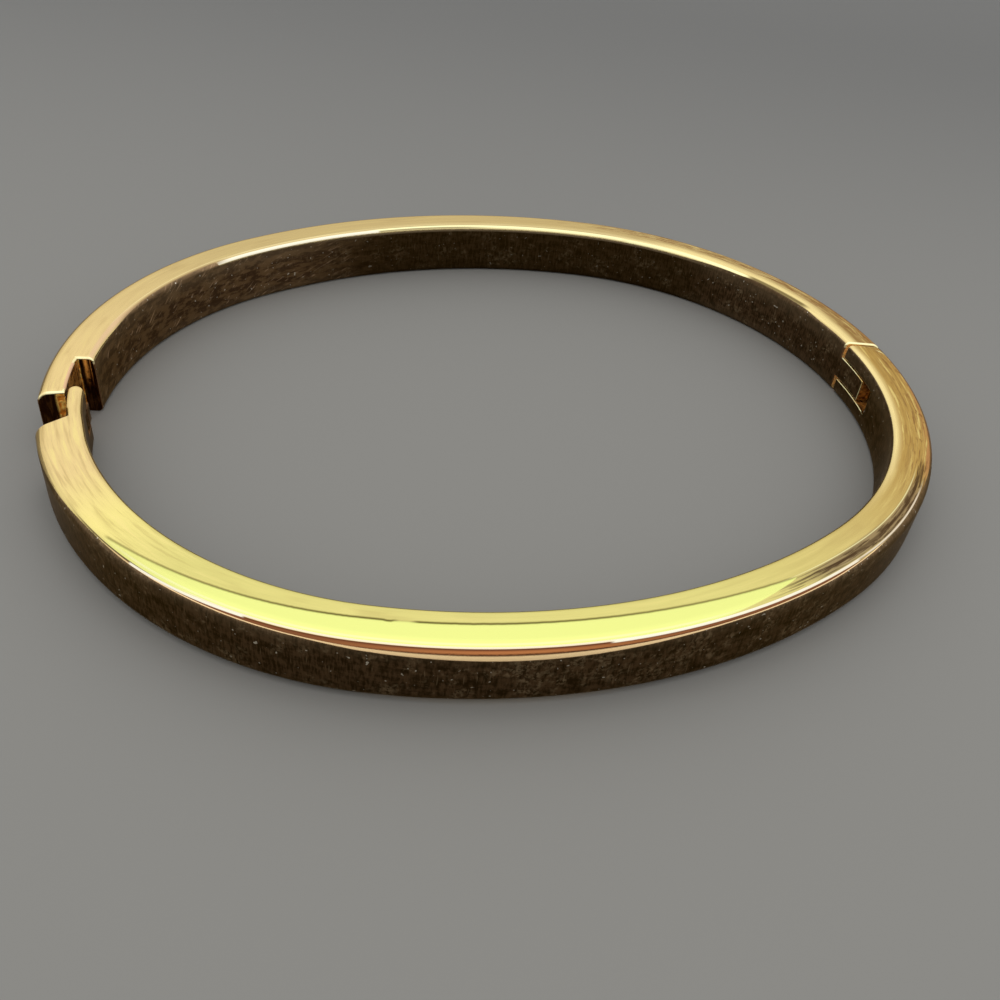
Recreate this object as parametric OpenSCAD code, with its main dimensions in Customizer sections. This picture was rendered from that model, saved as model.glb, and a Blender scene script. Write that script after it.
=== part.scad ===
// Hinged bangle: an oval band in two halves, a pin hinge at one end of the
// oval and a push-in tongue clasp at the other.
// Origin: middle of the wrist opening, on the surface the bangle lies on.
// X runs from the hinge (-X) to the clasp (+X), Y points to the back half,
// Z points up. All lengths in mm, all angles in degrees.

/* [Band] */
// Inside length of the oval, from hinge to clasp
inner_length = 60; // [58:0.5:64]
// Inside width of the oval, across the wrist
inner_width = 50; // [49:0.5:53]
// Thickness of the band, inside wall to outside wall
band_thickness = 3; // [2.8:0.1:3.6]
// Height of the band, along Z
band_height = 4.6; // [4.4:0.1:6]
// Rounding of the two outer edges of the band
outer_rounding = 0.8; // [0.4:0.05:0.9]
// Rounding of the two inner edges of the band
inner_rounding = 0.4; // [0.2:0.05:0.5]

/* [Hinge] */
// Width of the front half's inner finger, which holds the pin
finger_width = 1; // [0.95:0.05:1.1]
// Gap between the inner finger and the back half's outer finger
finger_gap = 0.15; // [0.12:0.01:0.2]
// Rounding of the inner finger's upper and lower edges
finger_rounding = 0.2; // [0.1:0.05:0.3]
// Distance of the pin behind the long axis of the oval
pin_level = 1.75; // [1.5:0.05:2]
// How far the inner finger's round end is centred past the pin
finger_overrun = 0.55; // [0.4:0.05:0.7]
// How far the outer finger stops short of the pin's level
outer_finger_setback = 0.25; // [0.15:0.05:0.3]
// Distance of the hinge recess's end wall behind the long axis
recess_level = 6.2; // [5.5:0.1:7]
// Distance of the shoulder's inner corner in front of the long axis
shoulder_level = 1; // [0.8:0.1:1.4]
// Slant of the shoulder, falling away to the outside
shoulder_slant = 28; // [15:1:35]
// Radius of the hinge pin
pin_radius = 0.27; // [0.24:0.01:0.3]
// Running fit of the pin in the middle knuckle, on the radius
pin_running_fit = 0.03; // [0.02:0.01:0.05]
// Fit of the pin in the two ears of the front half, on the radius
pin_ear_fit = 0.01; // [0.01:0.01:0.02]
// Height of the back half's middle knuckle
knuckle_height = 1.4; // [1.2:0.1:1.6]
// Play between the middle knuckle and the ears, above and below
knuckle_play = 0.15; // [0.1:0.01:0.2]

/* [Clasp] */
// Distance of the seam's inner corner in front of the long axis
seam_level = 1.2; // [1:0.1:1.6]
// Slant of the seam, falling away to the outside
seam_slant = 15; // [0:1:20]
// Width of the seam between the two halves
seam_gap = 0.35; // [0.25:0.05:0.5]
// Length of the tongue past the seam, along the inside wall
tongue_length = 3.9; // [3:0.1:4.2]
// Height of the tongue
tongue_height = 1.8; // [1.4:0.1:2.2]
// Thickness of the tongue, from the inside wall outward
tongue_thickness = 1; // [0.8:0.1:1.2]
// Length of the channel past the seam, along the inside wall
channel_length = 5.7; // [5.2:0.1:6.5]
// Gap around the tongue in its channel
tongue_gap = 0.15; // [0.12:0.01:0.2]

/* [Hidden] */
$fn = 96;

// The oval is four arcs. The centre of an end arc (on the X axis), the centre
// of a side arc (on the Y axis) and the origin are the corners of a triangle
// with sides as 5 to 12 to 13, so each arc runs on into the next one exactly.
oval_short = 5;
oval_long = 12;
oval_slope = 13;
oval_unit = (inner_length - inner_width) / 2 / (oval_short + oval_long - oval_slope);
end_centre = oval_short * oval_unit;
side_centre = oval_long * oval_unit;
end_radius = inner_length / 2 - end_centre;
side_radius = end_radius + oval_slope * oval_unit;
// Half the sweep of an end arc, where it runs on into a side arc
join_angle = atan2(oval_long, oval_short);
// Reach of the flat plan shapes that cut the arcs at their joins
join_reach = 5;

middle_height = band_height / 2;
finger_radius = finger_width / 2;
// Round ends are a hair narrower than the straight parts they close
knuckle_radius = finger_radius - 0.02;
// Radius of the line through the pin, from the hinge arc's centre
pin_line_radius = end_radius + finger_radius;
// Inner face of the outer finger, from the hinge arc's centre
outer_finger_radius = end_radius + finger_width + finger_gap;

// Angles from the long axis, on the hinge arc
pin_angle = asin(pin_level / pin_line_radius);
tip_angle = pin_angle + finger_overrun / pin_line_radius * 180 / PI;
outer_finger_angle = asin((pin_level + outer_finger_setback) / outer_finger_radius);
recess_angle = asin(recess_level / (end_radius + finger_radius));
shoulder_angle = asin(shoulder_level / end_radius);

// The knuckle's web runs from the pin to the outer finger
web_reach = 1.3;
web_setback = 0.35;
web_overlap = 0.3;
web_start_angle = asin((pin_level + web_setback) / outer_finger_radius);
web_end_angle = asin((pin_level + web_reach) / outer_finger_radius);

// Room cut round the middle knuckle, clear of the web at full opening
knuckle_room = finger_radius + 0.4;
slot_height = knuckle_height + 2 * knuckle_play;

// The pin stays inside: a little above the underside, well below the top
pin_bottom = 0.1;
pin_top = band_height - 0.5;
pin_end_gap = 0.05;

// Angles from the long axis, on the clasp arc
seam_angle = asin(seam_level / end_radius);
tongue_angle = seam_angle + tongue_length / end_radius * 180 / PI;
channel_angle = seam_angle + channel_length / end_radius * 180 / PI;

// Fingers and tongue are rooted this far inside the band they grow from
root_angle = 4;

// Extra sweep of an arc's end before it is cut to its final face
cut_spare = 6;
// Size of the blocks that cut the slanted faces
block = 16;
// How far a cut runs past the skin it opens
past = 1;

gold = [0.90, 0.76, 0.42];
steel = [0.72, 0.70, 0.66];

// Upright section of the band: a rectangle with rounded corners
module section(inner, width, round_in, round_out) {
    outer = inner + width;
    middle = inner + width / 2;
    translate([inner + round_in, 0])
        square([width - round_in - round_out, band_height]);
    translate([inner, round_in])
        square([width / 2, band_height - 2 * round_in]);
    translate([middle, round_out])
        square([width / 2, band_height - 2 * round_out]);
    for (z = [round_in, band_height - round_in])
        translate([inner + round_in, z])
            circle(r = round_in);
    for (z = [round_out, band_height - round_out])
        translate([outer - round_out, z])
            circle(r = round_out);
}

// Plain upright section at middle height
module middle_section(inner, width, height) {
    translate([inner, middle_height - height / 2])
        square([width, height]);
}

// Sweep a section about a centre, from one angle to another
module sweep(centre, from, to) {
    translate([centre[0], centre[1], 0])
        rotate_extrude(angle = to - from, start = from)
            children();
}

// Full band on an end arc at +X, from a start angle up to the line where the
// side arc takes over
module end_arc(start) {
    across = oval_short * join_reach;
    along = oval_long * join_reach;
    intersection() {
        sweep([end_centre, 0], start, join_angle + cut_spare)
            section(end_radius, band_thickness, inner_rounding, outer_rounding);
        translate([0, 0, -past])
            linear_extrude(band_height + 2 * past)
                polygon([
                    [end_centre - across, -along],
                    [end_centre - across + along, -along - across],
                    [end_centre + across + along, along - across],
                    [end_centre + across, along]
                ]);
    }
}

// Full band on the side arc at +Y
module side_arc() {
    across = oval_short * join_reach;
    along = oval_long * join_reach;
    intersection() {
        translate([0, -side_centre, 0])
            rotate_extrude()
                section(side_radius, band_thickness, inner_rounding, outer_rounding);
        translate([0, 0, -past])
            linear_extrude(band_height + 2 * past)
                polygon([
                    [0, -side_centre],
                    [across, along - side_centre],
                    [-across, along - side_centre]
                ]);
    }
}

// Half of the oval band, on the +Y side, with the start angle of each end
module half_band(plus_x_start, minus_x_start) {
    end_arc(plus_x_start);
    side_arc();
    mirror([1, 0, 0])
        end_arc(minus_x_start);
}

// Place children on the line through the pin, at an angle behind the long axis
module at_hinge(angle) {
    translate([-end_centre, 0, 0])
        rotate([0, 0, -angle])
            translate([-pin_line_radius, 0, 0])
                children();
}

// Block on one side of the slanted seam: side 1 is the back, -1 the front
module seam_block(side, shift) {
    translate([end_centre, 0, 0])
        rotate([0, 0, -seam_angle])
            translate([end_radius, 0, 0])
                rotate([0, 0, -seam_slant])
                    translate([-block / 2, side > 0 ? -shift : -block, -past])
                        cube([block, block, band_height + 2 * past]);
}

// Round end of the inner finger, its edges rounded like the finger's own
module finger_end() {
    rotate_extrude()
        union() {
            square([knuckle_radius - finger_rounding, band_height]);
            translate([0, finger_rounding])
                square([knuckle_radius, band_height - 2 * finger_rounding]);
            for (z = [finger_rounding, band_height - finger_rounding])
                translate([knuckle_radius - finger_rounding, z])
                    circle(r = finger_rounding);
        }
}

// Back half: half the band, with the outer finger and the middle knuckle of
// the hinge at one end and the clasp's tongue at the other
module back_half() {
    color(gold)
        difference() {
            union() {
                difference() {
                    half_band(-seam_angle - cut_spare, recess_angle);
                    seam_block(-1, 0);
                }
                outer_finger();
                middle_knuckle();
                clasp_tongue();
            }
            at_hinge(pin_angle)
                translate([0, 0, -past])
                    cylinder(r = pin_radius + pin_running_fit, h = band_height + 2 * past);
        }
}

// Outer finger of the back half, square at its end
module outer_finger() {
    sweep([-end_centre, 0], 180 - recess_angle - root_angle, 180 - outer_finger_angle)
        section(
            outer_finger_radius,
            band_thickness - finger_width - finger_gap,
            finger_rounding,
            outer_rounding
        );
}

// Middle knuckle: a round lug about the pin and its web to the outer finger
module middle_knuckle() {
    at_hinge(pin_angle)
        translate([0, 0, middle_height - knuckle_height / 2])
            cylinder(r = knuckle_radius, h = knuckle_height);
    sweep([-end_centre, 0], 180 - web_end_angle, 180 - pin_angle)
        middle_section(end_radius, finger_width, knuckle_height);
    sweep([-end_centre, 0], 180 - web_end_angle, 180 - web_start_angle)
        middle_section(
            end_radius + finger_radius,
            finger_radius + finger_gap + web_overlap,
            knuckle_height
        );
}

// Tongue of the clasp, flush with the inside wall
module clasp_tongue() {
    sweep([end_centre, 0], -tongue_angle, root_angle)
        middle_section(end_radius, tongue_thickness, tongue_height);
}

// Front half: half the band, with the two ears of the hinge at one end and
// the clasp's channel at the other
module front_half() {
    color(gold)
        difference() {
            union() {
                difference() {
                    rotate([0, 0, 180])
                        half_band(-cut_spare, -cut_spare);
                    shoulder_block();
                    seam_block(1, seam_gap);
                }
                inner_finger();
            }
            knuckle_slot();
            tongue_channel();
            at_hinge(pin_angle)
                translate([0, 0, -past])
                    cylinder(r = pin_radius + pin_ear_fit, h = pin_top + pin_end_gap + past);
        }
}

// Block behind the slanted shoulder of the front half
module shoulder_block() {
    translate([-end_centre - end_radius - finger_width, -shoulder_level, 0])
        rotate([0, 0, shoulder_slant])
            translate([-block / 2, 0, -past])
                cube([block, block, band_height + 2 * past]);
}

// Inner finger of the front half, round at its end
module inner_finger() {
    sweep([-end_centre, 0], 180 - tip_angle, 180 + shoulder_angle + root_angle)
        section(end_radius, finger_width, inner_rounding, finger_rounding);
    at_hinge(tip_angle)
        finger_end();
}

// Slot at middle height that turns the inner finger into two ears
module knuckle_slot() {
    at_hinge(pin_angle)
        translate([0, 0, middle_height - slot_height / 2])
            cylinder(r = knuckle_room, h = slot_height);
    sweep([-end_centre, 0], 180 - recess_angle, 180 - pin_angle)
        middle_section(end_radius - past, finger_width + 2 * past, slot_height);
}

// Channel in the inside wall that takes the tongue
module tongue_channel() {
    sweep([end_centre, 0], -channel_angle, cut_spare)
        middle_section(
            end_radius - past,
            tongue_thickness + tongue_gap + past,
            tongue_height + 2 * tongue_gap
        );
}

// Hinge pin, fast in the ears and free in the middle knuckle
module hinge_pin() {
    color(steel)
        at_hinge(pin_angle)
            translate([0, 0, pin_bottom])
                cylinder(r = pin_radius, h = pin_top - pin_bottom);
}

back_half();
front_half();
hinge_pin();
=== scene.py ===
"""Hinged bangle: the finished surfaces of its two halves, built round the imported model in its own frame."""

import logging
import math
from dataclasses import dataclass
from enum import IntEnum
from typing import Iterable, Sequence, Union

import bmesh
import bpy
from mathutils import Matrix, Vector


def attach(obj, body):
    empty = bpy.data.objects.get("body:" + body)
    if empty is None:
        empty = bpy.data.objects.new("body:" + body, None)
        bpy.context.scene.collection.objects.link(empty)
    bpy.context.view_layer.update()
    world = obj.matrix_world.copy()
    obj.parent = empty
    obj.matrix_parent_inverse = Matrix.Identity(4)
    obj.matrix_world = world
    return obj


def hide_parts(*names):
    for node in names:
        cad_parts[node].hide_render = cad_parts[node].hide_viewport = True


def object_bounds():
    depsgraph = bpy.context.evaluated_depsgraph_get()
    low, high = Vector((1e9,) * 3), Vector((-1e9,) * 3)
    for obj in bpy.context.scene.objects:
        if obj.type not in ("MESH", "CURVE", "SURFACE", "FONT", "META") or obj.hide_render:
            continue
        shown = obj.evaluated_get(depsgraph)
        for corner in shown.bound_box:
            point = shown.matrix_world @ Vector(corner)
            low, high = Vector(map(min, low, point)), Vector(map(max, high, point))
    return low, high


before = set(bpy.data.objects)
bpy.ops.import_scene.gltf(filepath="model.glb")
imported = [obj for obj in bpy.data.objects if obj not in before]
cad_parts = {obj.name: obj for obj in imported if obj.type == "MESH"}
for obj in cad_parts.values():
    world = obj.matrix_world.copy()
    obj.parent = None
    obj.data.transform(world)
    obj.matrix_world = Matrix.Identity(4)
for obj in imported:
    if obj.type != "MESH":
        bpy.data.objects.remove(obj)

CAD_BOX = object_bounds()
LOG = logging.getLogger("bangle")
MM = 0.001

ProfilePoint = tuple[float, float]
Colour = tuple[float, float, float, float]
Value = Union["Wire", float]
Tint = Union["Wire", Colour]


def linear(red: int, green: int, blue: int) -> Colour:
    """Turn a colour as a screen shows it into the shader's linear colour.

    Args:
        red: Red, from 0 to 255.
        green: Green, from 0 to 255.
        blue: Blue, from 0 to 255.

    Returns:
        Linear red, green and blue, with a full alpha.
    """

    def one(value: int) -> float:
        """Linear share of one of the three."""
        share = value / 255
        return share / 12.92 if share <= 0.04045 else ((share + 0.055) / 1.055) ** 2.4

    return one(red), one(green), one(blue), 1.0


METAL_RIM = linear(226, 210, 188)


class Slot(IntEnum):
    """Material slots of a half of the band."""

    BAND = 0
    EDGE = 1
    CUT = 2
    GLOW = 3


# Shape of the band


@dataclass(frozen=True)
class Oval:
    """Inside outline of the band in plan: four arcs that run on into one another. Lengths are millimetres.

    A place on the oval is given by its normal angle, in degrees: the clasp is at 0, the middle of the back
    half at 90, the hinge at 180 and the middle of the front half at 270.
    """

    half_length: float
    half_width: float
    short: float = 5.0
    long: float = 12.0
    slope: float = 13.0

    @property
    def unit(self) -> float:
        """Length of one unit of the triangle between the arc centres."""
        return (self.half_length - self.half_width) / (self.short + self.long - self.slope)

    @property
    def end_centre(self) -> float:
        """Distance of an end arc's centre from the origin, along X."""
        return self.short * self.unit

    @property
    def side_centre(self) -> float:
        """Distance of a side arc's centre from the origin, along Y."""
        return self.long * self.unit

    @property
    def end_radius(self) -> float:
        """Inside radius of an end arc."""
        return self.half_length - self.end_centre

    @property
    def side_radius(self) -> float:
        """Inside radius of a side arc."""
        return self.end_radius + self.slope * self.unit

    @property
    def join(self) -> float:
        """Half the sweep of an end arc, in degrees."""
        return math.degrees(math.atan2(self.long, self.short))

    def centre(self, angle: float) -> Vector:
        """Centre of the arc that holds a normal angle.

        Args:
            angle: Normal angle, in degrees.

        Returns:
            The centre, at height zero.
        """
        turned = angle % 360
        if turned < self.join or turned > 360 - self.join:
            return Vector((self.end_centre, 0, 0))
        if turned < 180 - self.join:
            return Vector((0, -self.side_centre, 0))
        if turned < 180 + self.join:
            return Vector((-self.end_centre, 0, 0))
        return Vector((0, self.side_centre, 0))

    def radius(self, angle: float) -> float:
        """Inside radius of the arc that holds a normal angle, in degrees."""
        return self.end_radius if abs(self.centre(angle).x) > 0 else self.side_radius

    def point(self, angle: float, off: float, height: float) -> Vector:
        """Point of the band.

        Args:
            angle: Normal angle, in degrees.
            off: Distance outward from the inside wall.
            height: Height above the underside.

        Returns:
            The point.
        """
        turn = math.radians(angle)
        reach = self.radius(angle) + off
        return self.centre(angle) + Vector((reach * math.cos(turn), reach * math.sin(turn), height))

    def turns(self, start: float, end: float) -> list[tuple[float, float]]:
        """Split a stretch of the oval at the joins of its arcs.

        Args:
            start: Normal angle where the stretch starts.
            end: Normal angle where it ends, which may be the smaller one.

        Returns:
            Start and end angle of the part on each arc, in the order of travel.
        """
        low, high = min(start, end), max(start, end)
        joins = sorted(half * 180 + side * self.join for half in (-1, 0, 1, 2) for side in (-1, 1))
        stops = [low, *[join for join in joins if low < join < high], high]
        parts = list(zip(stops, stops[1:]))
        return parts if end > start else [(b, a) for a, b in reversed(parts)]

    def place(self, point: Vector) -> tuple[float, float]:
        """Normal angle and distance outward of a point.

        Args:
            point: Any point of the band.

        Returns:
            The angle, from -180 to 180, and the distance from the inside wall.
        """
        across = point.x - math.copysign(self.end_centre, point.x)
        if across * point.x > 0 and abs(point.y) <= abs(across) * self.long / self.short:
            return math.degrees(math.atan2(point.y, across)), math.hypot(across, point.y) - self.end_radius
        along = point.y + math.copysign(self.side_centre, point.y)
        return math.degrees(math.atan2(along, point.x)), math.hypot(along, point.x) - self.side_radius


@dataclass(frozen=True)
class Section:
    """Upright section of the band, a rectangle with rounded corners. Lengths are millimetres."""

    thickness: float
    height: float
    outer: float = 0.8
    inner: float = 0.4
    outer_steps: int = 12
    inner_steps: int = 8

    @property
    def flat(self) -> float:
        """Width of the flat top."""
        return self.thickness - self.outer - self.inner

    def corner(self, side: int, upper: bool, radius: float, wall: float, steps: int) -> list[ProfilePoint]:
        """Points of one rounded corner, from the flat face to the wall.

        Args:
            side: 1 for a corner on the outer side, -1 on the inner side.
            upper: True for a corner at the top.
            radius: Radius of the corner.
            wall: Distance from the inside wall of the wall that the corner runs into.
            steps: Number of straight steps.

        Returns:
            Pairs of distance outward and height.
        """
        found = []
        for step in range(steps + 1):
            turn = math.pi / 2 * step / steps
            drop = radius - radius * math.cos(turn)
            off = wall - side * (radius - radius * math.sin(turn))
            found.append((off, self.height - drop if upper else drop))
        return found

    def outer_side(self, split: float) -> list[ProfilePoint]:
        """Open line from the top face round the outer wall to the underside.

        Args:
            split: Distance outward where the line starts and ends.

        Returns:
            Pairs of distance outward and height.
        """
        high = self.corner(1, True, self.outer, self.thickness, self.outer_steps)
        low = self.corner(1, False, self.outer, self.thickness, self.outer_steps)
        return [(split, self.height), *high, *reversed(low), (split, 0.0)]

    def inner_side(self, splits: Sequence[float], levels: Sequence[float]) -> list[ProfilePoint]:
        """Open line from the underside round the inside wall to the top face.

        Args:
            splits: Distances outward at which the flat faces have a point, starting with the line's ends.
            levels: Heights at which the inside wall has a point, going up.

        Returns:
            Pairs of distance outward and height.
        """
        low = self.corner(-1, False, self.inner, 0.0, self.inner_steps)
        high = self.corner(-1, True, self.inner, 0.0, self.inner_steps)
        return [
            *[(split, 0.0) for split in splits],
            *low,
            *[(0.0, level) for level in levels],
            *reversed(high),
            *[(split, self.height) for split in reversed(splits)],
        ]

    def length_at(self, off: float, height: float, outside: bool) -> float:
        """Length along the profile, from the inner end of the flat top outward.

        Args:
            off: Distance outward of a point of the profile.
            height: Height of the point.
            outside: True if the point belongs to the outer half of the band.

        Returns:
            The length, below zero on the inner corner and wall, above the flat's width on the outer ones.
        """
        radius = self.outer if outside else self.inner
        beyond = off - (self.thickness - self.outer) if outside else self.inner - off
        rounding = radius * math.pi / 2
        round_trip = 2 * rounding + self.height - 2 * radius
        upper = height > self.height / 2
        above = height - (self.height - radius) if upper else radius - height
        if beyond <= 0:
            length = beyond if upper else round_trip - beyond
        elif above > 0:
            turn = math.atan2(beyond, above)
            length = radius * turn if upper else round_trip - radius * turn
        else:
            length = rounding + self.height - radius - height
        return self.flat + length if outside else -length


@dataclass(frozen=True)
class Cut:
    """Upright cutting plane, given in plan by a point and a heading in degrees. Lengths are millimetres."""

    through: Vector
    heading: float

    @property
    def normal(self) -> Vector:
        """Level direction at a right angle to the plane."""
        turn = math.radians(self.heading)
        return Vector((-math.sin(turn), math.cos(turn), 0))

    def moved(self, distance: float) -> "Cut":
        """The same plane, moved along its normal."""
        return Cut(self.through + self.normal * distance, self.heading)

    def slide(self, point: Vector, centre: Vector) -> Vector:
        """Move a point round a centre, at its own height, until it lies in the plane.

        Args:
            point: The point, which is closer to the wanted place than to the far side of its circle.
            centre: The centre of its circle.

        Returns:
            The point's new place.
        """
        arm = point - centre
        reach = arm.xy.length
        level = self.normal.dot(self.through - centre)
        swing = math.acos(max(-1.0, min(1.0, level / reach)))
        base = math.atan2(self.normal.y, self.normal.x)
        near = math.atan2(arm.y, arm.x)
        options = [base - swing, base + swing]
        angle = min(options, key=lambda option: abs(math.remainder(option - near, math.tau)))
        return centre + Vector((reach * math.cos(angle), reach * math.sin(angle), arm.z))


class Sweep:
    """A mesh that is swept along the oval, in millimetres."""

    merge_distance = 0.0005

    def __init__(self, oval: Oval, step: float = 1.2) -> None:
        """Start an empty mesh.

        Args:
            oval: The outline to follow.
            step: Angle between two rows, in degrees.
        """
        self.oval = oval
        self.step = step
        self.mesh = bmesh.new()

    def _row(self, points: Sequence[Vector], closed: bool) -> list:
        """Draw a line of vertices and edges through points.

        Args:
            points: The points, in their order.
            closed: True if the last point joins the first.

        Returns:
            The vertices, then the edges.
        """
        verts = [self.mesh.verts.new(point) for point in points]
        pairs = list(zip(verts, verts[1:]))
        if closed:
            pairs.append((verts[-1], verts[0]))
        return verts + [self.mesh.edges.new(pair) for pair in pairs]

    def strip(self, line: Sequence[ProfilePoint], stations: Sequence[float], closed: bool = False) -> None:
        """Sweep a profile line along the oval.

        Args:
            line: The line, as pairs of distance outward and height.
            stations: Normal angles that the sweep goes through, from start to end.
            closed: True if the line's last point joins its first.
        """
        for start, end in zip(stations, stations[1:]):
            for low, high in self.oval.turns(start, end):
                row = self._row([self.oval.point(low, *spot) for spot in line], closed)
                centre = self.oval.centre((low + high) / 2)
                self.spin(row, centre, high - low, max(1, round(abs(high - low) / self.step)))

    def strip_to(self, line: Sequence[ProfilePoint], start: float, cut: Cut, closed: bool = False) -> None:
        """Sweep a profile line in one step, from an angle to a cutting plane.

        Args:
            line: The line, as pairs of distance outward and height.
            start: Normal angle of the first row.
            cut: The plane that the last row lies in.
            closed: True if the line's last point joins its first.
        """
        row = self._row([self.oval.point(start, *spot) for spot in line], closed)
        centre = self.oval.centre(start)
        for vert in self.spin(row, centre, self.step, 1):
            vert.co = cut.slide(vert.co, centre)

    def spin(self, row: list, centre: Vector, angle: float, steps: int) -> list:
        """Spin a row of vertices and edges about an upright axis.

        Args:
            row: The vertices and edges.
            centre: A point of the axis.
            angle: Angle of the whole spin, in degrees.
            steps: Number of steps.

        Returns:
            The vertices of the last row.
        """
        spun = bmesh.ops.spin(
            self.mesh,
            geom=row,
            cent=centre,
            axis=(0, 0, 1),
            angle=math.radians(angle),
            steps=steps,
            use_merge=abs(angle) == 360,
        )
        return [item for item in spun["geom_last"] if isinstance(item, bmesh.types.BMVert)]

    def ring(
        self,
        centre: Vector,
        radii: tuple[float, float],
        levels: tuple[float, float],
        steps: int,
    ) -> None:
        """Spin a square profile all the way round an upright axis.

        Args:
            centre: A point of the axis.
            radii: Inside and outside radius.
            levels: Height of the underside and of the top.
            steps: Number of steps.
        """
        corners = [(radius, level) for radius in radii for level in levels]
        ordered = [corners[0], corners[1], corners[3], corners[2]]
        row = self._row([centre + Vector((radius, 0, level)) for radius, level in ordered], True)
        self.spin(row, centre, 360, steps)

    def round_end(self, line: Sequence[ProfilePoint], angle: float, middle: float, steps: int) -> list:
        """Spin half a finger's profile round the finger's end.

        Args:
            line: The outer half of the profile, as pairs of distance outward and height.
            angle: Normal angle where the finger ends.
            middle: Distance outward of the finger's middle line.
            steps: Number of steps.

        Returns:
            All vertices of the end.
        """
        known = set(self.mesh.verts)
        row = self._row([self.oval.point(angle, *spot) for spot in line], False)
        self.spin(row, self.oval.point(angle, middle, 0), -180, steps)
        return [vert for vert in self.mesh.verts if vert not in known]

    def close(self) -> None:
        """Merge the strips, fill what is still open and turn all faces outward."""
        mesh = self.mesh
        bmesh.ops.remove_doubles(mesh, verts=mesh.verts, dist=self.merge_distance)
        rims = [edge for edge in mesh.edges if edge.is_boundary]
        bmesh.ops.holes_fill(mesh, edges=rims, sides=0)
        bmesh.ops.recalc_face_normals(mesh, faces=mesh.faces)


# Pieces


@dataclass(frozen=True)
class Hinge:
    """Sizes of the hinge, in millimetres and degrees."""

    finger_width: float = 1.0
    finger_gap: float = 0.15
    finger_rounding: float = 0.2
    pin_level: float = 1.75
    finger_overrun: float = 0.55
    finger_setback: float = 0.25
    recess_level: float = 6.2
    shoulder_level: float = 1.0
    shoulder_slant: float = 28.0
    pin_radius: float = 0.27
    running_fit: float = 0.03
    knuckle_height: float = 1.4
    knuckle_play: float = 0.15
    knuckle_room: float = 0.9
    knuckle_radius: float = 0.48
    neck_reach: float = 0.42
    web_setback: float = 0.35
    web_reach: float = 1.3
    web_overlap: float = 0.3

    @property
    def middle(self) -> float:
        """Distance outward of the inner finger's middle line."""
        return self.finger_width / 2

    @property
    def outer_finger(self) -> float:
        """Distance outward of the outer finger's inner face."""
        return self.finger_width + self.finger_gap

    def level_angle(self, oval: Oval, level: float, off: float) -> float:
        """Normal angle of a point of the hinge arc that lies a given distance behind the long axis.

        Args:
            oval: The oval.
            level: Distance behind the long axis.
            off: Distance outward.

        Returns:
            The angle, in degrees.
        """
        return 180 - math.degrees(math.asin(level / (oval.end_radius + off)))

    def pin_angle(self, oval: Oval) -> float:
        """Normal angle of the pin."""
        return self.level_angle(oval, self.pin_level, self.middle)

    def tip_angle(self, oval: Oval) -> float:
        """Normal angle of the centre of the inner finger's round end."""
        return self.pin_angle(oval) - math.degrees(self.finger_overrun / (oval.end_radius + self.middle))

    def slot_angle(self, oval: Oval) -> float:
        """Normal angle where the inner finger starts to be two ears."""
        return self.pin_angle(oval) + math.degrees(self.knuckle_room / (oval.end_radius + self.middle))

    def recess_angle(self, oval: Oval) -> float:
        """Normal angle of the recess's end wall."""
        return self.level_angle(oval, self.recess_level, self.middle)

    def finger_end_angle(self, oval: Oval) -> float:
        """Normal angle of the outer finger's square end."""
        return self.level_angle(oval, self.pin_level + self.finger_setback, self.outer_finger)

    def shoulder(self, oval: Oval) -> Cut:
        """Plane of the front half's slanted shoulder."""
        corner = Vector((-oval.half_length - self.finger_width, -self.shoulder_level, 0))
        return Cut(corner, self.shoulder_slant)

    def slot_levels(self, section: Section) -> tuple[float, float]:
        """Heights of the lower and upper side of the slot between the ears."""
        half = self.knuckle_height / 2 + self.knuckle_play
        return section.height / 2 - half, section.height / 2 + half


@dataclass(frozen=True)
class Clasp:
    """Sizes of the clasp, in millimetres and degrees."""

    seam_level: float = 1.2
    seam_slant: float = 15.0
    seam_gap: float = 0.35
    tongue_length: float = 3.9
    tongue_height: float = 1.8
    tongue_thickness: float = 1.0
    channel_length: float = 5.7
    tongue_gap: float = 0.15

    def seam_angle(self, oval: Oval) -> float:
        """Angle from the long axis to the seam's inner corner."""
        return math.degrees(math.asin(self.seam_level / oval.end_radius))

    def seam(self, oval: Oval) -> Cut:
        """Plane of the back half's end."""
        angle = -self.seam_angle(oval)
        return Cut(oval.point(angle, 0, 0), angle - self.seam_slant)

    def reach_angle(self, oval: Oval, length: float) -> float:
        """Normal angle, below zero, a length past the seam along the inside wall."""
        return -self.seam_angle(oval) - math.degrees(length / oval.end_radius)

    def levels(self, section: Section, gap: float) -> tuple[float, float]:
        """Heights of the tongue's lower and upper side, a gap outside it."""
        half = self.tongue_height / 2 + gap
        return section.height / 2 - half, section.height / 2 + half


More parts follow.
